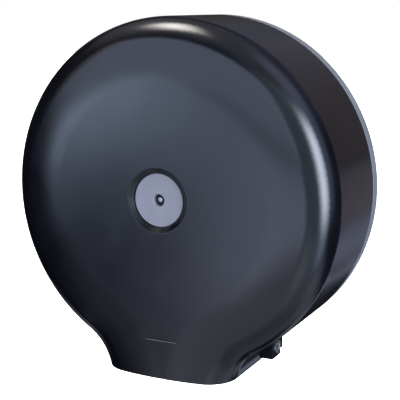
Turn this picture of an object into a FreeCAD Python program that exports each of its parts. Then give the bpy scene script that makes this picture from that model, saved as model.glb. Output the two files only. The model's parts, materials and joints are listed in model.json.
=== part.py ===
import FreeCAD, Part
import math
import os

Vector = FreeCAD.Vector

# Jumbo roll dispenser for a wall, in millimetres.
# X points right seen from the front, the wall is the plane Y = 0 and the front faces -Y, Z points up.
# The origin lies on the wall plane, on the axis of the roll.

# Round body and chute of the cover
body_r = 135.0
body_depth = 111.0
shoulder_r = 23.0
cover_wall = 2.6
mouth_half_width = 53.8
lip_below_body = 3.9
flare_r = 39.2
parting_round = 0.6
lip_round = 0.6

# Crown: the band of the front, inside the shoulder, that falls back slowly from the flat face
crown_width = 34.1
crown_drop = 5.7
crown_r = 170.0

# Groove moulded across the chute's front, with a level roof and a sloping lower side
groove_length = 26.0
groove_height = 0.9
groove_depth = 1.05
groove_rise = 31.0
groove_shift = 1.8

# Back plate and the parting line to the cover
rim_depth = 10.0
rim_wall = 4.6
parting_gap = 0.5
floor_thickness = 3.0
lip_height = 4.0
lip_wall = 1.6
lip_clearance = 0.6

# Wall screw holes, each in a raised pad
wall_spacing_x = 120.0
wall_spacing_z = 100.0
wall_hole_r = 2.75
wall_pad_r = 9.0
wall_pad_height = 2.0

# Ribs on the back plate's floor
rib_width = 2.0
rib_height = 2.0
rib_ring_r = 100.0
rib_count = 6

# Hinge at the left rear edge
hinge_offset = 4.8
knuckle_r = 4.2
cover_knuckle_length = 24.0
base_knuckle_length = 14.0
knuckle_gap = 0.4
pin_r = 1.5
pin_head_r = 2.6
pin_head_height = 1.2
pin_seat_clearance = 0.02
pin_running_clearance = 0.05
arm_root_share = 0.7

# Centre disc in its bevelled recess
disc_r = 20.1
disc_thickness = 2.4
disc_gap = 0.9
bevel_depth = 2.9
bevel_width = 3.6
bevel_round = 0.8
hub_r = 6.0
hub_gap = 0.1
well_r = 4.6
well_depth = 5.2
well_floor = 1.2
disc_edge_round = 0.4

# Screw, washer and nut plate of the centre disc
disc_washer_thickness = 0.8
disc_washer_gap = 0.1
disc_screw_r = 1.4
disc_screw_head_r = 2.1
disc_screw_head_height = 2.0
disc_screw_end = 0.5
retainer_r = 9.5
retainer_floor = 2.2
retainer_boss_r = 3.6
retainer_boss_length = 3.4
thread_clearance = 0.03

# Spindle post, sleeve and cap
hub_pad_r = 36.0
hub_pad_height = 2.0
post_flange_r = 29.0
post_flange_thickness = 4.0
post_r = 12.0
post_wall = 3.0
post_end_thickness = 10.0
spindle_screw_circle_r = 22.0
spindle_screw_count = 4
spindle_screw_r = 1.9
spindle_screw_head_r = 3.5
spindle_screw_head_height = 2.4
spindle_screw_sink = 0.2
spindle_screw_head_gap = 0.3
spindle_screw_grip = 4.0
drag_washer_r = 17.0
drag_washer_thickness = 1.5
drag_washer_gap = 0.3
sleeve_r = 21.0
sleeve_wall = 2.5
sleeve_land = 10.0
sleeve_flange_r = 33.0
sleeve_flange_thickness = 2.5
sleeve_running_clearance = 0.05
sleeve_end_play = 0.3
cap_r = 16.0
cap_thickness = 3.0
cap_round = 1.0
cap_screw_r = 1.6
cap_screw_head_r = 3.5
cap_screw_head_height = 2.4
cap_screw_grip = 8.0
spindle_front_clearance = 2.5

# Lock beside the chute, its axis along X
lock_rise = 11.2
lock_stand = 32.2
case_width = 11.6
case_front_reach = 8.6
case_back_reach = 8.7
case_drop = 8.9
case_rise = 12.0
case_round = 1.2
case_seat_gap = 0.1
case_flange_thickness = 3.3
case_flange_step = 0.4
case_flange_drop = 4.2
barrel_r = 4.4
barrel_gap = 0.1
barrel_flange_r = 5.4
barrel_flange_thickness = 1.2
barrel_tail = 1.0
plug_r = 3.05
plug_running_clearance = 0.05
plug_set_in = 0.2
keyway_width = 1.1
keyway_height = 4.2
keyway_depth = 9.0
wafer_count = 5
wafer_thickness = 0.8
wafer_width = 2.4
wafer_height = 5.2
wafer_gap = 0.05
wafer_rail = 0.5
wafer_pitch = 1.4
wafer_inset = 1.6
lock_boss_r = 8.0
lock_boss_stand = 1.3
nut_flats = 13.0
nut_thickness = 3.5
cam_thickness = 2.0
cam_width = 9.0
cam_reach = 17.0
cam_gap = 0.2
cam_square = 3.6
cam_square_gap = 0.05
cam_screw_r = 1.1
cam_screw_head_r = 3.0
cam_screw_head_height = 1.6
cam_screw_grip = 6.0

# Strike on the back plate
strike_thickness = 1.5
strike_width = 9.0
strike_nut_gap = 0.6
strike_play = 0.8
strike_lip_gap = 3.0
strike_web_gap = 4.0
strike_foot_length = 13.0
strike_pad_height = 5.0
strike_pad_margin = 0.5
strike_screw_r = 1.4
strike_screw_head_r = 2.6
strike_screw_head_height = 1.8
strike_screw_grip = 6.0
strike_screw_shares = (0.28, 0.72)

# Tear blades inside the chute's two sides
blade_thickness = 0.8
blade_height = 10.0
blade_lip_gap = 1.0
blade_seat_gap = 0.05
blade_end_gap = 2.0
tooth_pitch = 3.0
tooth_depth = 2.0
rivet_r = 1.4
rivet_gap = 0.1
rivet_head_r = 2.5
rivet_head_height = 1.0
rivet_grip = 1.7
rivet_end_shares = (0.15, 0.85)
rivet_height_share = 0.62

# Screw heads: round of the rim and the slots, as shares of the head's height or radius
head_round_share = 0.5
slot_depth_share = 0.5
slot_length_share = 0.5
slot_width_share = 0.17

# How far a cut runs past the face that it opens, and the reach that tells edges apart
cut_overrun = 1.0
same_place = 0.001

# Places worked out from the sizes above
lip_z = -(body_r + lip_below_body)
crown_tilt = math.atan2(crown_drop, crown_width)
shoulder_end_y = -(body_depth - crown_drop) + shoulder_r * math.tan(math.pi / 4 - crown_tilt / 2)
cover_rear_y = -(rim_depth + parting_gap)
hinge_x = -(body_r + hinge_offset)
hinge_y = -(rim_depth + parting_gap / 2)
groove_z = lip_z + groove_rise
recess_r = disc_r + disc_gap
bevel_r = recess_r + bevel_width
disc_front_y = -body_depth + bevel_depth
recess_floor_y = disc_front_y + disc_thickness
recess_back_y = recess_floor_y + cover_wall
well_floor_y = disc_front_y + well_depth
hub_back_y = well_floor_y + well_floor
retainer_back_y = hub_back_y + hub_gap + retainer_floor
retainer_end_y = retainer_back_y + retainer_boss_length
hub_pad_y = -(floor_thickness + hub_pad_height)
post_flange_y = hub_pad_y - post_flange_thickness
spindle_screw_seat_y = post_flange_y + spindle_screw_sink + spindle_screw_head_height
sleeve_back_y = post_flange_y - drag_washer_thickness - sleeve_end_play
cap_front_y = retainer_end_y + spindle_front_clearance + cap_screw_head_height
post_front_y = cap_front_y + cap_thickness
sleeve_front_y = post_front_y + sleeve_end_play
lock_y = -lock_stand
lock_z = lip_z + lock_rise
case_face_x = mouth_half_width + case_width
plug_face_x = case_face_x + barrel_flange_thickness - plug_set_in
strike_pad_y = -(floor_thickness + strike_pad_height)


def flare_centre():
    # The flare passes through the lip's corner and touches the round body from outside.
    corner = Vector(mouth_half_width, 0, lip_z)
    span = corner.Length
    reach = body_r + flare_r
    along = (span ** 2 + reach ** 2 - flare_r ** 2) / (2 * span)
    across = math.sqrt(reach ** 2 - along ** 2)
    heading = corner / span
    return heading * along + Vector(-heading.z, 0, heading.x) * across


flare_c = flare_centre()


def flare_x(inset, z):
    return flare_c.x - math.sqrt((flare_r + inset) ** 2 - (z - flare_c.z) ** 2)


seat_x = flare_x(cover_wall, lip_z) - lock_boss_stand
nut_back_x = seat_x - nut_thickness
barrel_back_x = nut_back_x - barrel_tail
cam_front_x = barrel_back_x - cam_gap
cam_back_x = cam_front_x - cam_thickness
strike_right_x = nut_back_x - strike_nut_gap
strike_left_x = strike_right_x - strike_width
strike_lip_y = lock_y - cam_width / 2 - strike_play
strike_lip_z = lock_z + cam_width / 2 + strike_lip_gap
strike_web_z = lock_z + cam_reach + strike_web_gap
strike_top_z = strike_web_z + strike_thickness + strike_foot_length


def along_x(radius, x_low, x_high, y, z):
    return Part.makeCylinder(radius, x_high - x_low, Vector(x_low, y, z), Vector(1, 0, 0))


def along_y(radius, y_front, y_back, x=0, z=0):
    return Part.makeCylinder(radius, y_back - y_front, Vector(x, y_front, z), Vector(0, 1, 0))


def along_z(radius, z_low, z_high, x, y):
    return Part.makeCylinder(radius, z_high - z_low, Vector(x, y, z_low), Vector(0, 0, 1))


def block(x_low, x_high, y_front, y_back, z_low, z_high):
    return Part.makeBox(x_high - x_low, y_back - y_front, z_high - z_low, Vector(x_low, y_front, z_low))


def tube_y(outer_r, inner_r, y_front, y_back):
    bore = along_y(inner_r, y_front - cut_overrun, y_back + cut_overrun)
    return along_y(outer_r, y_front, y_back).cut(bore)


def outline(inset, foot_z):
    # Round body, a concave flare on each side and a straight foot, all set in by the same amount.
    join = flare_c * ((body_r - inset) / (body_r + flare_r))
    foot = Vector(flare_x(inset, foot_z), 0, foot_z)
    half_way = (join - flare_c) + (foot - flare_c)
    middle = flare_c + half_way * ((flare_r + inset) / half_way.Length)
    top = Vector(0, 0, body_r - inset)
    left = [Vector(-point.x, 0, point.z) for point in (join, middle, foot)]
    edges = [
        Part.Arc(left[0], top, join).toShape(),
        Part.Arc(join, middle, foot).toShape(),
        Part.LineSegment(foot, left[2]).toShape(),
        Part.Arc(left[2], left[1], left[0]).toShape(),
    ]
    return Part.Wire(edges)


def prism(inset, foot_z, y_front, y_back):
    face = Part.Face(outline(inset, foot_z))
    face.translate(Vector(0, y_front, 0))
    return face.extrude(Vector(0, y_back - y_front, 0))


def edges_at_y(solid, y):
    return [edge for edge in solid.Edges
            if edge.BoundBox.YMin > y - same_place and edge.BoundBox.YMax < y + same_place]


def edges_at_z(solid, z):
    return [edge for edge in solid.Edges
            if edge.BoundBox.ZMin > z - same_place and edge.BoundBox.ZMax < z + same_place]


def rim_edges(solid, y, foot_z):
    return [edge for edge in edges_at_y(solid, y) if edge.BoundBox.ZMax > foot_z + same_place]


def shouldered(inset, foot_z, y_back):
    # A prism whose front falls back through the crown to the rounded shoulder, but for the straight foot.
    y_front = inset - body_depth
    width = crown_width - inset * (1 - math.tan(crown_tilt / 2))
    drop = width * math.tan(crown_tilt)
    solid = prism(inset, foot_z, y_front, y_back)
    solid = solid.makeChamfer(drop, width, rim_edges(solid, y_front, foot_z))
    solid = solid.makeFillet(shoulder_r - inset, rim_edges(solid, y_front + drop, foot_z))
    return solid.makeFillet(crown_r - inset, rim_edges(solid, y_front, foot_z))


def bevelled_recess():
    bevel = Part.makeCone(bevel_r, recess_r, bevel_depth, Vector(0, -body_depth, 0), Vector(0, 1, 0))
    return bevel.fuse(along_y(recess_r, disc_front_y - same_place, recess_floor_y))


def groove():
    top_z = groove_z + groove_height / 2
    low_z = groove_z - groove_height / 2
    left_x = groove_shift - groove_length / 2
    front_y = -body_depth - cut_overrun
    corners = [
        Vector(left_x, front_y, low_z),
        Vector(left_x, -body_depth, low_z),
        Vector(left_x, -body_depth + groove_depth, top_z),
        Vector(left_x, front_y, top_z),
        Vector(left_x, front_y, low_z),
    ]
    return Part.Face(Part.makePolygon(corners)).extrude(Vector(groove_length, 0, 0))


def cover_knuckle():
    half = cover_knuckle_length / 2
    root_x = -(body_r - cover_wall * arm_root_share)
    barrel = along_z(knuckle_r, -half, half, hinge_x, hinge_y)
    arm = block(hinge_x, root_x, hinge_y - knuckle_r, cover_rear_y, -half, half)
    return barrel.fuse(arm)


def front_cover():
    outer = shouldered(0, lip_z, cover_rear_y)
    outer = outer.makeFillet(parting_round, rim_edges(outer, cover_rear_y, lip_z))
    inner = shouldered(cover_wall, lip_z - cut_overrun, cover_rear_y + cut_overrun)
    disc_pad = along_y(bevel_r, -(body_depth - cover_wall), recess_back_y)
    lock_boss = along_x(lock_boss_r, seat_x, case_face_x, lock_y, lock_z).common(outer)
    shell = outer.cut(inner)
    shell = shell.makeFillet(lip_round, edges_at_z(shell, lip_z))
    cover = shell.fuse([disc_pad, lock_boss, cover_knuckle()])
    half = cover_knuckle_length / 2 + cut_overrun
    cuts = [
        bevelled_recess(),
        along_y(hub_r + hub_gap, recess_floor_y - cut_overrun, recess_back_y + cut_overrun),
        along_x(barrel_r + barrel_gap, seat_x - cut_overrun, case_face_x, lock_y, lock_z),
        along_z(pin_r + pin_running_clearance, -half, half, hinge_x, hinge_y),
        groove(),
    ]
    cuts += [rivet_shank(side, place) for side, place in rivet_places()]
    cover = cover.cut(cuts).removeSplitter()
    bevel_edge = [edge for edge in edges_at_y(cover, -body_depth)
                  if abs(edge.BoundBox.XMax - bevel_r) < same_place]
    return cover.makeFillet(bevel_round, bevel_edge)


def base_knuckles():
    root_x = -(body_r - rim_wall)
    inner_end = cover_knuckle_length / 2 + knuckle_gap
    outer_end = inner_end + base_knuckle_length
    knuckles = []
    for z_low, z_high in ((inner_end, outer_end), (-outer_end, -inner_end)):
        knuckles.append(along_z(knuckle_r, z_low, z_high, hinge_x, hinge_y))
        knuckles.append(block(hinge_x, root_x, -rim_depth, hinge_y + knuckle_r, z_low, z_high))
    return knuckles


def floor_ribs():
    y_front = -(floor_thickness + rib_height)
    ring = tube_y(rib_ring_r + rib_width / 2, rib_ring_r - rib_width / 2, y_front, -floor_thickness)
    ribs = [ring]
    for index in range(rib_count):
        rib = block(0, rib_ring_r, y_front, -floor_thickness, -rib_width / 2, rib_width / 2)
        rib.rotate(Vector(0, 0, 0), Vector(0, 1, 0), 360 * index / rib_count)
        ribs.append(rib)
    return ribs


def wall_hole_places():
    half_x = wall_spacing_x / 2
    half_z = wall_spacing_z / 2
    return [(x, z) for x in (-half_x, half_x) for z in (-half_z, half_z)]


def spindle_screw_places():
    # The screws stand halfway between the axes, clear of the ribs.
    turns = [2 * math.pi * (index + 0.5) / spindle_screw_count for index in range(spindle_screw_count)]
    return [(spindle_screw_circle_r * math.cos(t), spindle_screw_circle_r * math.sin(t)) for t in turns]


def strike_screw_places():
    x = (strike_left_x + strike_right_x) / 2
    foot_z = strike_web_z + strike_thickness
    return [(x, foot_z + strike_foot_length * share) for share in strike_screw_shares]


def back_plate():
    lip_inset = cover_wall + lip_clearance
    lip_y = -(rim_depth + lip_height)
    tray = prism(0, lip_z, -rim_depth, 0)
    tray = tray.makeFillet(parting_round, edges_at_y(tray, -rim_depth))
    tray = tray.cut(prism(rim_wall, lip_z + rim_wall, -rim_depth - cut_overrun, -floor_thickness))
    # The lip is left open at the foot, where the paper hangs out.
    lip = prism(lip_inset, lip_z + rim_wall, lip_y, -floor_thickness).cut(
        prism(lip_inset + lip_wall, lip_z, lip_y - cut_overrun, 0))
    pad_y = -(floor_thickness + wall_pad_height)
    pads = [along_y(wall_pad_r, pad_y, -floor_thickness, x, z) for x, z in wall_hole_places()]
    hub_pad = along_y(hub_pad_r, hub_pad_y, -floor_thickness)
    strike_pad = block(
        strike_left_x - strike_pad_margin, strike_right_x + strike_pad_margin,
        strike_pad_y, -floor_thickness,
        strike_web_z - strike_pad_margin, strike_top_z + strike_pad_margin)
    plate = tray.fuse([lip, hub_pad, strike_pad] + pads + floor_ribs() + base_knuckles())
    outer_end = cover_knuckle_length / 2 + knuckle_gap + base_knuckle_length
    cuts = [along_z(pin_r + pin_seat_clearance, -outer_end, outer_end, hinge_x, hinge_y)]
    for x, z in wall_hole_places():
        cuts.append(along_y(wall_hole_r, pad_y - cut_overrun, cut_overrun, x, z))
    for x, z in spindle_screw_places():
        grip_y = hub_pad_y + spindle_screw_grip
        cuts.append(along_y(spindle_screw_r + thread_clearance, hub_pad_y - cut_overrun, grip_y, x, z))
    for x, z in strike_screw_places():
        grip_y = strike_pad_y + strike_screw_grip
        cuts.append(along_y(strike_screw_r + thread_clearance, strike_pad_y - cut_overrun, grip_y, x, z))
    return plate.cut(cuts).removeSplitter()


def hinge_pin():
    top = cover_knuckle_length / 2 + knuckle_gap + base_knuckle_length
    shank = along_z(pin_r, -top, top, hinge_x, hinge_y)
    return shank.fuse(along_z(pin_head_r, top, top + pin_head_height, hinge_x, hinge_y)).removeSplitter()


def rounded_ends(solid, y, radius):
    return solid.makeFillet(radius, edges_at_y(solid, y))


def centre_disc():
    disc = along_y(disc_r, disc_front_y, recess_floor_y).fuse(along_y(hub_r, recess_floor_y, hub_back_y))
    well = along_y(well_r, disc_front_y - cut_overrun, well_floor_y)
    screw_hole = along_y(disc_screw_r + hub_gap, well_floor_y - cut_overrun, hub_back_y + cut_overrun)
    return rounded_ends(disc.cut([well, screw_hole]).removeSplitter(), disc_front_y, disc_edge_round)


def disc_washer():
    washer_y = well_floor_y - disc_washer_thickness
    return tube_y(well_r - disc_washer_gap, disc_screw_r + hub_gap, washer_y, well_floor_y)


def pan_screw(shank_r, head_r, head_height, head_y, end_y, x=0, z=0):
    # A screw along Y whose domed head stands in front of its seat, with a cross cut in the head.
    front_y = head_y - head_height
    head = along_y(head_r, front_y, head_y, x, z)
    head = rounded_ends(head, front_y, head_height * head_round_share)
    floor_y = front_y + head_height * slot_depth_share
    half = head_r * slot_length_share
    width = head_r * slot_width_share
    slots = [
        block(x - half, x + half, front_y - cut_overrun, floor_y, z - width, z + width),
        block(x - width, x + width, front_y - cut_overrun, floor_y, z - half, z + half),
    ]
    return head.fuse(along_y(shank_r, head_y, end_y, x, z)).cut(slots).removeSplitter()


def disc_screw():
    seat_y = well_floor_y - disc_washer_thickness
    return pan_screw(
        disc_screw_r, disc_screw_head_r, disc_screw_head_height, seat_y, retainer_end_y - disc_screw_end)


def disc_retainer():
    cup = along_y(retainer_r, recess_back_y, retainer_back_y)
    boss = along_y(retainer_boss_r, retainer_back_y, retainer_end_y)
    hollow = along_y(hub_r + hub_gap, recess_back_y - cut_overrun, hub_back_y + hub_gap)
    thread = along_y(disc_screw_r + thread_clearance, recess_back_y, retainer_end_y + cut_overrun)
    return cup.fuse(boss).cut([hollow, thread]).removeSplitter()


def spindle_post():
    flange = along_y(post_flange_r, post_flange_y, hub_pad_y)
    post = along_y(post_r, post_front_y, post_flange_y)
    hollow = along_y(post_r - post_wall, post_front_y + post_end_thickness, hub_pad_y + cut_overrun)
    cuts = [
        hollow,
        along_y(cap_screw_r + thread_clearance, post_front_y - cut_overrun, post_front_y + cap_screw_grip),
    ]
    front_y = post_flange_y - cut_overrun
    sink_r = spindle_screw_head_r + spindle_screw_head_gap
    for x, z in spindle_screw_places():
        cuts.append(along_y(spindle_screw_r + hub_gap, front_y, hub_pad_y + cut_overrun, x, z))
        cuts.append(along_y(sink_r, front_y, spindle_screw_seat_y, x, z))
    return flange.fuse(post).cut(cuts).removeSplitter()


def spindle_screws():
    end_y = hub_pad_y + spindle_screw_grip
    return Part.makeCompound([
        pan_screw(spindle_screw_r, spindle_screw_head_r, spindle_screw_head_height,
                  spindle_screw_seat_y, end_y, x, z)
        for x, z in spindle_screw_places()])


def drag_washer():
    front_y = post_flange_y - drag_washer_thickness
    return tube_y(drag_washer_r, post_r + drag_washer_gap, front_y, post_flange_y)


def core_sleeve():
    flange_y = sleeve_back_y - sleeve_flange_thickness
    sleeve = along_y(sleeve_r, sleeve_front_y, sleeve_back_y).fuse(
        along_y(sleeve_flange_r, flange_y, sleeve_back_y))
    bore_r = post_r + sleeve_running_clearance
    bore = along_y(bore_r, sleeve_front_y - cut_overrun, sleeve_back_y + cut_overrun)
    relief = along_y(sleeve_r - sleeve_wall, sleeve_front_y + sleeve_land, sleeve_back_y - sleeve_land)
    return sleeve.cut([bore, relief]).removeSplitter()


def spindle_cap():
    cap = along_y(cap_r, cap_front_y, post_front_y)
    cap = rounded_ends(cap, cap_front_y, cap_round)
    hole = along_y(cap_screw_r + hub_gap, cap_front_y - cut_overrun, post_front_y + cut_overrun)
    return cap.cut(hole)


def cap_screw():
    return pan_screw(
        cap_screw_r, cap_screw_head_r, cap_screw_head_height, cap_front_y, post_front_y + cap_screw_grip)


def rounded_case_block(x_high, y_front, y_back, z_low):
    # The block reaches back past the flare, which then trims it.
    solid = block(seat_x, x_high, y_front, y_back, z_low, lock_z + case_rise)
    edges = []
    for edge in solid.Edges:
        box = edge.BoundBox
        outer_face = box.XMin > x_high - same_place
        under_front = box.ZMax < z_low + same_place and box.YMax < y_front + same_place
        if outer_face or under_front:
            edges.append(edge)
    return solid.makeFillet(case_round, edges)


def lock_case():
    back_y = lock_y + case_back_reach
    main = rounded_case_block(case_face_x, lock_y - case_front_reach, back_y, lock_z - case_drop)
    flange = rounded_case_block(
        case_face_x + case_flange_step, back_y, back_y + case_flange_thickness, lock_z - case_flange_drop)
    trim = prism(-case_seat_gap, lip_z - cut_overrun, lock_y - case_front_reach - cut_overrun, 0)
    bore = along_x(barrel_r + barrel_gap, seat_x, case_face_x + cut_overrun, lock_y, lock_z)
    return main.fuse(flange).cut([trim, bore]).removeSplitter()


def lock_barrel():
    face_x = case_face_x + barrel_flange_thickness
    barrel = along_x(barrel_r, barrel_back_x, case_face_x, lock_y, lock_z).fuse(
        along_x(barrel_flange_r, case_face_x, face_x, lock_y, lock_z))
    bore = along_x(
        plug_r + plug_running_clearance, barrel_back_x - cut_overrun, face_x + cut_overrun, lock_y, lock_z)
    return barrel.cut(bore).removeSplitter()


def around_lock(x_middle, thickness, height, width):
    # A block across the lock's axis, with its height along Y and its width along Z.
    return block(
        x_middle - thickness / 2, x_middle + thickness / 2, lock_y - height / 2, lock_y + height / 2,
        lock_z - width / 2, lock_z + width / 2)


def wafer_places():
    return [plug_face_x - wafer_inset - wafer_pitch * index for index in range(wafer_count)]


def lock_plug():
    face_x = plug_face_x
    half = cam_square / 2
    plug = along_x(plug_r, cam_front_x, face_x, lock_y, lock_z)
    stub = block(cam_back_x, cam_front_x, lock_y - half, lock_y + half, lock_z - half, lock_z + half)
    keyway = block(
        face_x - keyway_depth, face_x + cut_overrun, lock_y - keyway_height / 2, lock_y + keyway_height / 2,
        lock_z - keyway_width / 2, lock_z + keyway_width / 2)
    thread = along_x(
        cam_screw_r + thread_clearance, cam_back_x - cut_overrun, cam_back_x + cam_screw_grip, lock_y, lock_z)
    slot_sizes = [size + 2 * wafer_gap for size in (wafer_thickness, wafer_height, wafer_width)]
    slots = [around_lock(x, *slot_sizes) for x in wafer_places()]
    return plug.fuse(stub).cut([keyway, thread] + slots).removeSplitter()


def lock_wafers():
    # Each wafer is a plate with a window that the key passes through.
    wafers = []
    for x in wafer_places():
        window = around_lock(
            x, wafer_thickness + cut_overrun, wafer_height - 2 * wafer_rail, wafer_width - 2 * wafer_rail)
        wafers.append(around_lock(x, wafer_thickness, wafer_height, wafer_width).cut(window))
    return Part.makeCompound(wafers)


def hex_prism(flats, x_low, x_high, y, z):
    corner_r = flats / math.sqrt(3)
    corners = []
    for index in range(7):
        turn = math.pi * index / 3
        corners.append(Vector(x_low, y + corner_r * math.cos(turn), z + corner_r * math.sin(turn)))
    return Part.Face(Part.makePolygon(corners)).extrude(Vector(x_high - x_low, 0, 0))


def lock_nut():
    bore = along_x(
        barrel_r + thread_clearance, nut_back_x - cut_overrun, seat_x + cut_overrun, lock_y, lock_z)
    return hex_prism(nut_flats, nut_back_x, seat_x, lock_y, lock_z).cut(bore)


def lock_cam():
    # At rest the cam points at the wall, which is its open place.
    tip_y = lock_y + cam_reach - cam_width / 2
    half = cam_width / 2
    hole = cam_square / 2 + cam_square_gap
    cam = along_x(half, cam_back_x, cam_front_x, lock_y, lock_z).fuse([
        along_x(half, cam_back_x, cam_front_x, tip_y, lock_z),
        block(cam_back_x, cam_front_x, lock_y, tip_y, lock_z - half, lock_z + half)])
    square = block(
        cam_back_x - cut_overrun, cam_front_x + cut_overrun, lock_y - hole, lock_y + hole,
        lock_z - hole, lock_z + hole)
    return cam.cut(square).removeSplitter()


def cam_screw():
    head = along_x(cam_screw_head_r, cam_back_x - cam_screw_head_height, cam_back_x, lock_y, lock_z)
    shank = along_x(cam_screw_r, cam_back_x, cam_back_x + cam_screw_grip, lock_y, lock_z)
    half = cam_screw_head_r * slot_length_share
    width = cam_screw_head_r * slot_width_share
    front_x = cam_back_x - cam_screw_head_height
    floor_x = front_x + cam_screw_head_height * slot_depth_share
    slot = block(front_x - cut_overrun, floor_x, lock_y - half, lock_y + half, lock_z - width, lock_z + width)
    return head.fuse(shank).cut(slot).removeSplitter()


def lock_strike():
    front_y = strike_lip_y - strike_thickness
    foot_y = strike_pad_y - strike_thickness
    web_top_z = strike_web_z + strike_thickness
    lip = block(strike_left_x, strike_right_x, front_y, strike_lip_y, strike_lip_z, web_top_z)
    web = block(strike_left_x, strike_right_x, front_y, strike_pad_y, strike_web_z, web_top_z)
    foot = block(strike_left_x, strike_right_x, foot_y, strike_pad_y, strike_web_z, strike_top_z)
    holes = [
        along_y(strike_screw_r + hub_gap, foot_y - cut_overrun, strike_pad_y + cut_overrun, x, z)
        for x, z in strike_screw_places()]
    return lip.fuse([web, foot]).cut(holes).removeSplitter()


def strike_screws():
    foot_y = strike_pad_y - strike_thickness
    end_y = strike_pad_y + strike_screw_grip
    return Part.makeCompound([
        pan_screw(strike_screw_r, strike_screw_head_r, strike_screw_head_height, foot_y, end_y, x, z)
        for x, z in strike_screw_places()])


def blade_frame(side):
    # Middle of the blade's back, the way into the chute and the way down along its side.
    z = lip_z + blade_lip_gap + blade_height / 2
    spoke = Vector(flare_x(cover_wall, z), 0, z) - flare_c
    inward = spoke / spoke.Length
    middle = flare_c + inward * (flare_r + cover_wall + blade_seat_gap)
    down = Vector(-inward.z, 0, inward.x)
    if side < 0:
        middle, inward, down = [Vector(-v.x, 0, v.z) for v in (middle, inward, down)]
    return middle, inward, down


def blade_span(side):
    # The straight of the chute's side, short of the shoulder, the plate's lip and, on the right, the lock.
    front = shoulder_end_y + blade_end_gap
    back = -(rim_depth + lip_height) - blade_end_gap
    if side > 0:
        back = lock_y - lock_boss_r - blade_end_gap
    return front, back


def rivet_places():
    places = []
    for side in (-1, 1):
        front, back = blade_span(side)
        places += [(side, front + (back - front) * share) for share in rivet_end_shares]
    return places


def rivet_seat(side, y):
    middle, inward, down = blade_frame(side)
    rise = blade_height * (rivet_height_share - 0.5)
    return middle - down * rise + Vector(0, y, 0), inward


def rivet_shank(side, y):
    # Hole for a rivet: through the blade and blind in the chute's side.
    seat, inward = rivet_seat(side, y)
    start = seat - inward * rivet_grip
    length = rivet_grip + blade_thickness + cut_overrun
    return Part.makeCylinder(rivet_r + rivet_gap, length, start, inward)


def tear_blade(side):
    middle, inward, down = blade_frame(side)
    front, back = blade_span(side)
    count = int((back - front) / tooth_pitch)
    pitch = (back - front) / count
    top = middle - down * (blade_height / 2)
    root = middle + down * (blade_height / 2 - tooth_depth)
    tip = middle + down * (blade_height / 2)
    points = [top + Vector(0, front, 0)]
    for index in range(count):
        points.append(root + Vector(0, front + pitch * index, 0))
        points.append(tip + Vector(0, front + pitch * (index + 0.5), 0))
    points += [root + Vector(0, back, 0), top + Vector(0, back, 0)]
    points.append(points[0])
    blade = Part.Face(Part.makePolygon(points)).extrude(inward * blade_thickness)
    return blade.cut([rivet_shank(place_side, y) for place_side, y in rivet_places() if place_side == side])


def blade_rivets():
    rivets = []
    for side, y in rivet_places():
        seat, inward = rivet_seat(side, y)
        under_head = seat + inward * blade_thickness
        shank = Part.makeCylinder(rivet_r, rivet_grip + blade_thickness, seat - inward * rivet_grip, inward)
        head = Part.makeCylinder(rivet_head_r, rivet_head_height, under_head, inward)
        rivets.append(shank.fuse(head).removeSplitter())
    return Part.makeCompound(rivets)


nodes = {
    "front_cover": front_cover(),
    "back_plate": back_plate(),
    "hinge_pin": hinge_pin(),
    "centre_disc": centre_disc(),
    "disc_washer": disc_washer(),
    "disc_screw": disc_screw(),
    "disc_retainer": disc_retainer(),
    "spindle_post": spindle_post(),
    "spindle_screws": spindle_screws(),
    "drag_washer": drag_washer(),
    "core_sleeve": core_sleeve(),
    "spindle_cap": spindle_cap(),
    "cap_screw": cap_screw(),
    "lock_case": lock_case(),
    "lock_barrel": lock_barrel(),
    "lock_plug": lock_plug(),
    "lock_wafers": lock_wafers(),
    "lock_nut": lock_nut(),
    "lock_cam": lock_cam(),
    "cam_screw": cam_screw(),
    "lock_strike": lock_strike(),
    "strike_screws": strike_screws(),
    "left_tear_blade": tear_blade(-1),
    "right_tear_blade": tear_blade(1),
    "blade_rivets": blade_rivets(),
}

os.makedirs("parts", exist_ok=True)
for name, shape in nodes.items():
    shape.exportStep("parts/" + name + ".step")
    box = shape.BoundBox
    print(name, "solids", len(shape.Solids), "valid", shape.isValid(), "volume", round(shape.Volume, 1),
          "x", round(box.XMin, 2), round(box.XMax, 2), "y", round(box.YMin, 2), round(box.YMax, 2),
          "z", round(box.ZMin, 2), round(box.ZMax, 2))
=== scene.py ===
import bpy
import json
import math
import numpy as np
from mathutils import Matrix, Vector

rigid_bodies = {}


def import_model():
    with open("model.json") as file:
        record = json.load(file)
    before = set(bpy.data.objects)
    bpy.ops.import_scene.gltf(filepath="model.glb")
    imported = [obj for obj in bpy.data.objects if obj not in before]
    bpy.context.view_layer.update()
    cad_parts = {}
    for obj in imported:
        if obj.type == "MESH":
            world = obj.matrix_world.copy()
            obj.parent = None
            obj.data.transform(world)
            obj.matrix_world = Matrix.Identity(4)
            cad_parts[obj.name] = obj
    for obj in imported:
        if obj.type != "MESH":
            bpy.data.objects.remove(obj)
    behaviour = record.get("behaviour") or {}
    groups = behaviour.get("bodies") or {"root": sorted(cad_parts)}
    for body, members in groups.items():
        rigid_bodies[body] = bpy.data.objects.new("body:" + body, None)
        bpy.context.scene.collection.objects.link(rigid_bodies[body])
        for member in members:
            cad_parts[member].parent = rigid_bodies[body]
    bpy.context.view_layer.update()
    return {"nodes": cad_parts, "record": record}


for stray in list(bpy.data.objects):  # start from an empty scene
    bpy.data.objects.remove(stray)

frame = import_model()
nodes = frame["nodes"]
print("frame loaded:", len(nodes), "nodes")


# node helpers: each material is a small tree on Object coordinates, in metres

def newMaterial(name):
    mat = bpy.data.materials.new(name)
    mat.use_nodes = True
    tree = mat.node_tree
    shader = tree.nodes["Principled BSDF"]
    coords = tree.nodes.new("ShaderNodeTexCoord")
    return mat, tree, shader, coords.outputs["Object"]


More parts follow.
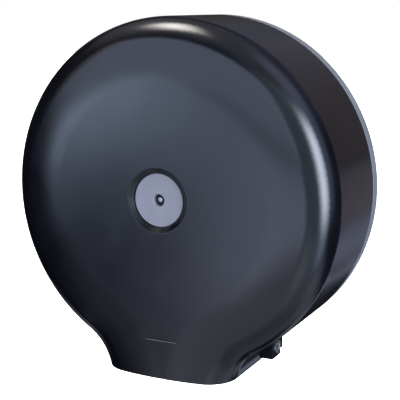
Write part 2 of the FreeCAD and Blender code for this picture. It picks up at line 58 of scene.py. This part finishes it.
def noise(tree, vector, size, detail=3.0, rough=0.5, stretch=(1, 1, 1)):
    # size is the grain in metres; stretch draws it out along an axis
    node = tree.nodes.new("ShaderNodeTexNoise")
    node.inputs["Scale"].default_value = 1.0 / size
    node.inputs["Detail"].default_value = detail
    node.inputs["Roughness"].default_value = rough
    if tuple(stretch) != (1, 1, 1):
        mapping = tree.nodes.new("ShaderNodeMapping")
        mapping.inputs["Scale"].default_value = stretch
        tree.links.new(vector, mapping.inputs["Vector"])
        vector = mapping.outputs["Vector"]
    tree.links.new(vector, node.inputs["Vector"])
    return node.outputs["Fac"]


def ramp(tree, value, low, high, start=0.3, end=0.7):
    # two-stop blend between colours
    node = tree.nodes.new("ShaderNodeValToRGB")
    node.color_ramp.elements[0].position = start
    node.color_ramp.elements[1].position = end
    node.color_ramp.elements[0].color = (*low, 1)
    node.color_ramp.elements[1].color = (*high, 1)
    tree.links.new(value, node.inputs["Fac"])
    return node.outputs["Color"]


def spread(tree, value, low, high, start=0.25, end=0.75):
    # maps a noise's middle range to low..high
    node = tree.nodes.new("ShaderNodeMapRange")
    node.inputs["From Min"].default_value = start
    node.inputs["From Max"].default_value = end
    node.inputs["To Min"].default_value = low
    node.inputs["To Max"].default_value = high
    tree.links.new(value, node.inputs["Value"])
    return node.outputs["Result"]


def bumps(tree, shader, height, depth, strength):
    node = tree.nodes.new("ShaderNodeBump")
    node.inputs["Strength"].default_value = strength
    node.inputs["Distance"].default_value = depth
    tree.links.new(height, node.inputs["Height"])
    tree.links.new(node.outputs["Normal"], shader.inputs["Normal"])


def moulded(name, spec):
    # moulded plastic: fine spark-eroded grain, slow cloudiness in colour and gloss
    mat, tree, shader, coords = newMaterial(name)
    cloud = noise(tree, coords, spec["cloud"], detail=4.0)
    grain = noise(tree, coords, spec["grain"], detail=2.0, rough=0.6)
    tree.links.new(ramp(tree, cloud, spec["dark"], spec["light"]), shader.inputs["Base Color"])
    tree.links.new(spread(tree, cloud, *spec["gloss"]), shader.inputs["Roughness"])
    shader.inputs["IOR"].default_value = 1.5
    shader.inputs["Specular IOR Level"].default_value = spec.get("shine", 0.5)
    bumps(tree, shader, grain, spec["depth"], spec["strength"])
    return mat


def metal(name, spec):
    # machined metal: fine lines drawn along one axis and a little tarnish
    mat, tree, shader, coords = newMaterial(name)
    tarnish = noise(tree, coords, spec["cloud"], detail=4.0)
    lines = noise(tree, coords, spec["grain"], detail=2.0, stretch=spec["stretch"])
    tree.links.new(ramp(tree, tarnish, spec["dark"], spec["light"]), shader.inputs["Base Color"])
    tree.links.new(spread(tree, lines, *spec["gloss"]), shader.inputs["Roughness"])
    shader.inputs["Metallic"].default_value = spec.get("metallic", 1.0)
    bumps(tree, shader, lines, spec["depth"], spec["strength"])
    return mat


coverFinish = dict(dark=(0.0040, 0.0046, 0.0068), light=(0.0050, 0.0058, 0.0084), gloss=(0.17, 0.21),
                   cloud=0.030, grain=0.0007, depth=0.00002, strength=0.20)
plateFinish = dict(dark=(0.124, 0.133, 0.147), light=(0.142, 0.151, 0.165), gloss=(0.40, 0.50),
                   cloud=0.020, grain=0.0006, depth=0.00003, strength=0.30)
discFinish = dict(dark=(0.222, 0.216, 0.244), light=(0.250, 0.244, 0.274), gloss=(0.34, 0.42),
                  cloud=0.012, grain=0.0004, depth=0.00002, strength=0.25)
blackFinish = dict(dark=(0.002, 0.0025, 0.004), light=(0.003, 0.0035, 0.0055), gloss=(0.40, 0.50),
                   shine=0.09, cloud=0.006, grain=0.0004, depth=0.00003, strength=0.40)
rubberFinish = dict(dark=(0.010, 0.010, 0.011), light=(0.016, 0.016, 0.017), gloss=(0.65, 0.80),
                    cloud=0.004, grain=0.0003, depth=0.00004, strength=0.50)
spindleFinish = dict(dark=(0.50, 0.51, 0.52), light=(0.56, 0.57, 0.58), gloss=(0.35, 0.45),
                     cloud=0.015, grain=0.0006, depth=0.00003, strength=0.30)
feltFinish = dict(dark=(0.10, 0.10, 0.11), light=(0.17, 0.17, 0.18), gloss=(0.90, 0.98),
                  cloud=0.0015, grain=0.0004, depth=0.00020, strength=0.80)
steelFinish = dict(dark=(0.52, 0.52, 0.53), light=(0.62, 0.62, 0.63), gloss=(0.36, 0.48),
                   cloud=0.004, grain=0.0002, stretch=(1, 0.15, 1), depth=0.00001, strength=0.25)
brassFinish = dict(dark=(0.55, 0.38, 0.14), light=(0.66, 0.48, 0.20), gloss=(0.25, 0.40),
                   cloud=0.002, grain=0.0002, stretch=(1, 0.2, 1), depth=0.00001, strength=0.25)
zincFinish = dict(dark=(0.80, 0.81, 0.84), light=(0.88, 0.89, 0.92), gloss=(0.16, 0.28),
                  metallic=0.95, cloud=0.003, grain=0.0002, stretch=(0.2, 1, 1),
                  depth=0.00001, strength=0.20)

finishes = {
    "cover_plastic": moulded("CoverPlastic", coverFinish),
    "plate_plastic": moulded("PlatePlastic", plateFinish),
    "disc_plastic": moulded("DiscPlastic", discFinish),
    "black_plastic": moulded("LockCasePlastic", blackFinish),
    "black_rubber": moulded("WasherRubber", rubberFinish),
    "spindle_plastic": moulded("SpindlePlastic", spindleFinish),
    "felt": moulded("BrakeFelt", feltFinish),
    "steel": metal("Steel", steelFinish),
    "wafer_brass": metal("WaferBrass", brassFinish),
    "lock_zinc": metal("LockZinc", zincFinish),
}
print("materials made:", len(finishes))

slotOf = {part["node"]: part["material_slot"] for part in frame["record"]["subparts"]}
for name, node in nodes.items():
    node.data.materials.clear()
    node.data.materials.append(finishes[slotOf[name]])
print("finishes on nodes:", len(slotOf))


# camera at the photograph's angle
cameraSpec = dict(turn=26.45, tip=10.99, roll=-0.21, focalPx=1010.0, away=0.79338,
                  aim=(0.0, -0.060, 0.0), aimPx=(188.04, 189.85), imagePx=400, sensor=36.0,
                  near=0.01, far=50.0)


def makeCamera(spec):
    a, e, r = [math.radians(spec[key]) for key in ("turn", "tip", "roll")]
    right = Vector((math.cos(a), math.sin(a), 0))
    up = Vector((-math.sin(a) * math.sin(e), math.cos(a) * math.sin(e), math.cos(e)))
    back = Vector((math.sin(a) * math.cos(e), -math.cos(a) * math.cos(e), math.sin(e)))
    right, up = right * math.cos(r) + up * math.sin(r), up * math.cos(r) - right * math.sin(r)
    half = spec["imagePx"] / 2
    offX = (spec["aimPx"][0] - half) / spec["focalPx"] * spec["away"]
    offY = -(spec["aimPx"][1] - half) / spec["focalPx"] * spec["away"]
    data = bpy.data.cameras.new("PhotoCamera")
    data.sensor_width = spec["sensor"]
    data.lens = spec["sensor"] * spec["focalPx"] / spec["imagePx"]
    data.clip_start = spec["near"]
    data.clip_end = spec["far"]
    camera = bpy.data.objects.new("PhotoCamera", data)
    bpy.context.scene.collection.objects.link(camera)
    place = Vector(spec["aim"]) - right * offX - up * offY + back * spec["away"]
    camera.matrix_world = Matrix.Translation(place) @ Matrix((right, up, back)).transposed().to_4x4()
    bpy.context.scene.camera = camera


makeCamera(cameraSpec)
bpy.context.scene.view_settings.view_transform = "Standard"
print("camera placed")


# soft studio light: feathered boxes far away on the sky, sizes in degrees,
# az 0 straight out from the wall and + to the right, light is the radiance
studioFill = (0.006, 0.006, 0.0065)  # what the boxes leave dark
softBoxes = [
    dict(name="RightStrip", az=69.4, el=8.4, wide=26.4, high=47.0, soft=12.0, light=(13.2, 14.5, 17)),
    dict(name="StripFoot", az=72.0, el=-26.0, wide=21.0, high=20.0, soft=5.0, light=(1.15, 1.6, 2.3)),
    dict(name="FrontBox", az=-19.5, el=15.3, wide=55.0, high=35.0, soft=2.5, light=(1.4, 1.63, 2.16)),
    dict(name="FrontSkirt", az=-10.4, el=-11.7, wide=31.8, high=13.6, soft=1.5, light=(1.76, 1.97, 2.66)),
    dict(name="FrontEdge", az=-34.7, el=-4.6, wide=14.8, high=6.0, soft=2.0, light=(3.2, 3.98, 5.47)),
    dict(name="LeftGlow", az=-36.6, el=-8.0, wide=5.6, high=9.5, soft=2.0, light=(0.66, 0.75, 0.9)),
    dict(name="TopLeftBox", az=-77.0, el=67.4, wide=23.0, high=16.0, soft=8.0, light=(19.2, 18.2, 17.6)),
    dict(name="FloorGlow", az=28.0, el=-62.0, wide=112.0, high=80.0, soft=9.0, light=(0.36, 0.38, 0.46)),
    dict(name="FloorRight", az=62.0, el=-47.0, wide=62.0, high=18.0, soft=6.0, light=(0.28, 0.29, 0.34)),
    dict(name="FloorRear", az=122.0, el=-52.0, wide=52.0, high=18.0, soft=6.0, light=(0.22, 0.235, 0.28)),
    dict(name="LowBounce", az=0.0, el=-34.0, wide=46.0, high=31.0, soft=9.0, light=(0.36, 0.36, 0.39)),
    dict(name="LowFront", az=-31.0, el=-23.5, wide=24.0, high=11.0, soft=4.0, light=(0.2, 0.2, 0.22)),
    dict(name="RightWall", az=35.0, el=5.0, wide=57.0, high=82.0, soft=11.0, light=(0.48, 0.6, 0.7)),
    dict(name="LeftFlag", az=-52.8, el=20.0, wide=6.0, high=28.0, soft=3.0, light=(0.71, 0.54, 0.47)),
    dict(name="Ceiling", az=-9.0, el=88.0, wide=110.0, high=75.0, soft=24.0, light=(0.37, 0.36, 0.38)),
    dict(name="RearRight", az=95.0, el=30.0, wide=36.0, high=84.0, soft=13.0, light=(0.54, 0.65, 1.05)),
    dict(name="RearTop", az=152.0, el=36.0, wide=100.0, high=25.0, soft=10.0, light=(0.09, 0.1, 0.16)),
    dict(name="BackdropLow", az=169.0, el=-19.5, wide=9.4, high=9.5, soft=1.5, light=(0.33, 0.35, 0.5)),
    dict(name="BackdropTip", az=181.2, el=-19.0, wide=5.6, high=7.0, soft=1.5, light=(0.5, 0.53, 0.66)),
    dict(name="ChuteSide", az=176.0, el=-31.0, wide=5.0, high=13.0, soft=1.0, light=(0.54, 0.63, 0.82)),
    dict(name="BackdropMid", az=169.0, el=-8.5, wide=26.0, high=13.0, soft=2.0, light=(0.23, 0.21, 0.23)),
    dict(name="BackdropUp", az=172.0, el=12.0, wide=34.0, high=26.0, soft=4.0, light=(0.125, 0.1, 0.095)),
    dict(name="RearLow", az=-130.0, el=-48.0, wide=50.0, high=25.0, soft=9.0, light=(0.31, 0.33, 0.39)),
    dict(name="RearLeftUp", az=-150.0, el=16.0, wide=40.0, high=22.0, soft=4.0, light=(0.06, 0.055, 0.05)),
    dict(name="BackdropFoot", az=160.0, el=-45.5, wide=28.0, high=12.0, soft=3.0, light=(0.2, 0.22, 0.28)),
    dict(name="ChuteBack", az=181.0, el=-39.5, wide=10.0, high=7.0, soft=2.0, light=(0.35, 0.4, 0.5)),
]


def calc(tree, kind, first, second):
    node = tree.nodes.new("ShaderNodeMath")
    node.operation = kind
    for socket, value in zip(node.inputs, (first, second)):
        if hasattr(value, "is_output"):
            tree.links.new(value, socket)
        else:
            socket.default_value = value
    return node.outputs["Value"]


def along(tree, direction, axis):
    node = tree.nodes.new("ShaderNodeVectorMath")
    node.operation = "DOT_PRODUCT"
    node.inputs[1].default_value = axis
    tree.links.new(direction, node.inputs[0])
    return node.outputs["Value"]


def feather(tree, slope, half, soft):
    # 1 inside the half width, smooth fall to 0 across the soft edge
    node = tree.nodes.new("ShaderNodeMapRange")
    node.interpolation_type = "SMOOTHSTEP"
    node.inputs["From Min"].default_value = half + soft
    node.inputs["From Max"].default_value = half - soft
    tree.links.new(calc(tree, "ABSOLUTE", slope, 0.0), node.inputs["Value"])
    return node.outputs["Result"]


def makeSoftBox(tree, direction, spec, sideOn=0.02, least=0.001):
    # a ray meets the box's plane at slopes across and up; the mask is the product of the two feathers
    az, el = math.radians(spec["az"]), math.radians(spec["el"])
    out = Vector((math.sin(az) * math.cos(el), -math.cos(az) * math.cos(el), math.sin(el)))
    right = Vector((math.cos(az), math.sin(az), 0))
    ahead = calc(tree, "MAXIMUM", along(tree, direction, out), least)
    soft = math.tan(math.radians(spec["soft"]))
    mask = calc(tree, "GREATER_THAN", ahead, sideOn)  # rays side-on to the box or behind it miss
    for axis, size in ((right, spec["wide"]), (out.cross(right), spec["high"])):
        slope = calc(tree, "DIVIDE", along(tree, direction, axis), ahead)
        mask = calc(tree, "MULTIPLY", mask, feather(tree, slope, math.tan(math.radians(size / 2)), soft))
    glow = tree.nodes.new("ShaderNodeBackground")
    glow.label = spec["name"]
    glow.inputs["Color"].default_value = (*[part / max(spec["light"]) for part in spec["light"]], 1)
    tree.links.new(calc(tree, "MULTIPLY", mask, max(spec["light"])), glow.inputs["Strength"])
    return glow.outputs["Background"]


def makeWorld(boxes, fill):
    # white to the camera; everything else sees the boxes over a dim fill
    world = bpy.data.worlds.new("Studio")
    world.use_nodes = True
    tree = world.node_tree
    tree.nodes.clear()
    out = tree.nodes.new("ShaderNodeOutputWorld")
    mix = tree.nodes.new("ShaderNodeMixShader")
    path = tree.nodes.new("ShaderNodeLightPath")
    coords = tree.nodes.new("ShaderNodeTexCoord")
    white = tree.nodes.new("ShaderNodeBackground")
    white.inputs["Color"].default_value = (1, 1, 1, 1)
    dim = tree.nodes.new("ShaderNodeBackground")
    dim.inputs["Color"].default_value = (*fill, 1)
    sky = dim.outputs["Background"]
    for spec in boxes:
        add = tree.nodes.new("ShaderNodeAddShader")
        tree.links.new(sky, add.inputs[0])
        tree.links.new(makeSoftBox(tree, coords.outputs["Generated"], spec), add.inputs[1])
        sky = add.outputs["Shader"]
    tree.links.new(path.outputs["Is Camera Ray"], mix.inputs["Fac"])
    tree.links.new(sky, mix.inputs[1])
    tree.links.new(white.outputs["Background"], mix.inputs[2])
    tree.links.new(mix.outputs["Shader"], out.inputs["Surface"])
    bpy.context.scene.world = world


makeWorld(softBoxes, studioFill)
print("soft boxes made:", len(softBoxes))


# lamp behind the part, only seen in views of its back
rearFill = dict(place=(0.0, 1.4, 0.1), aim=(0.0, 0.0, 0.0), size=0.9, power=24.0)


def makeRearFill(spec):
    lamp = bpy.data.lights.new("RearFill", "AREA")
    lamp.size = spec["size"]
    lamp.energy = spec["power"]
    holder = bpy.data.objects.new("RearFill", lamp)
    bpy.context.scene.collection.objects.link(holder)
    place = Vector(spec["place"])
    holder.location = place
    holder.rotation_euler = (Vector(spec["aim"]) - place).to_track_quat("-Z", "Y").to_euler()
    holder.visible_glossy = False  # no mirror image of it on the cover's side


makeRearFill(rearFill)


floorSpec = dict(drop=0.55, half=12.0, cloud=0.4, dark=(0.93, 0.93, 0.93), light=(0.95, 0.95, 0.95),
                 rough=0.9, glow=0.9)


def makeFloor(spec):
    # flat square sheet, a grid of two by two corners
    ends = [-spec["half"], spec["half"]]
    u, v = np.meshgrid(ends, ends)
    verts = np.stack([u.ravel(), v.ravel(), np.full(u.size, -spec["drop"])], axis=1)
    mesh = bpy.data.meshes.new("Floor")
    mesh.from_pydata(verts.tolist(), [], [(0, 1, 3, 2)])
    floor = bpy.data.objects.new("Floor", mesh)
    bpy.context.scene.collection.objects.link(floor)
    mat, tree, shader, coords = newMaterial("FloorPaper")
    paper = noise(tree, coords, spec["cloud"], detail=2.0)
    tree.links.new(ramp(tree, paper, spec["dark"], spec["light"]), shader.inputs["Base Color"])
    shader.inputs["Roughness"].default_value = spec["rough"]
    shader.inputs["Emission Color"].default_value = (1, 1, 1, 1)
    shader.inputs["Emission Strength"].default_value = spec["glow"]
    mesh.materials.append(mat)
    floor.visible_glossy = False
    floor.visible_diffuse = False


makeFloor(floorSpec)
print("light and floor placed")
